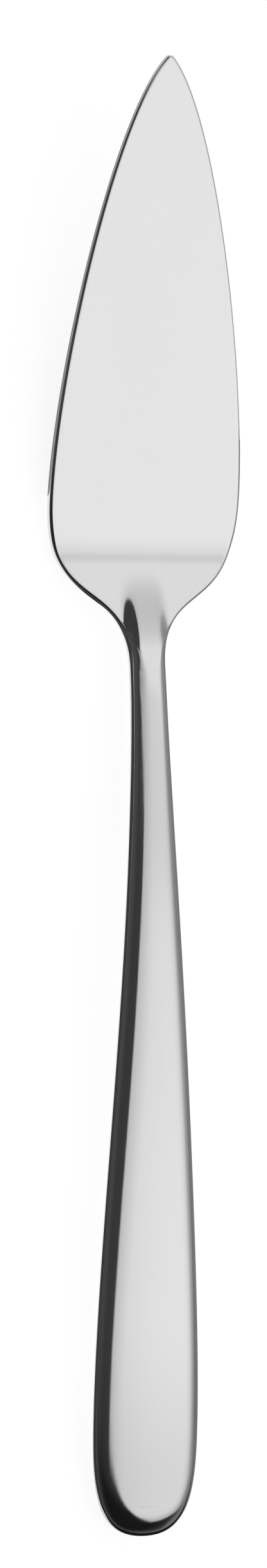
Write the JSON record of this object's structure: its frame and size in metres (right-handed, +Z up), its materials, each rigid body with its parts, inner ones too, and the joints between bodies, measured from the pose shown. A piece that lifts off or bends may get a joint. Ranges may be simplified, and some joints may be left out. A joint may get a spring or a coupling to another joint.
{
  "type": "fish knife",
  "caption": "Polished steel fish knife with a leaf-shaped cranked blade, a ribbed neck and a slim rounded hollow handle, for parting fish at the table.",
  "frame": {"origin": "on the table under the middle of the knife as it rests on its crank and its handle's heel", "axes": "+Y along the knife from the handle's end to the tip, +X across the blade, +Z up from the table"},
  "size_m": [0.0282, 0.205, 0.0131],
  "materials": {
    "polished_steel": "mirror polished stainless steel",
    "silver_braze": "polished flush braze",
    "handle_cement": "dull set cement"
  },
  "bodies": {
    "root": {"blade": "polished_steel", "handle_face_shell": "polished_steel", "handle_back_shell": "polished_steel", "seam_braze": "silver_braze", "neck_braze": "silver_braze", "filler_core": "handle_cement"}
  },
  "joints": []
}
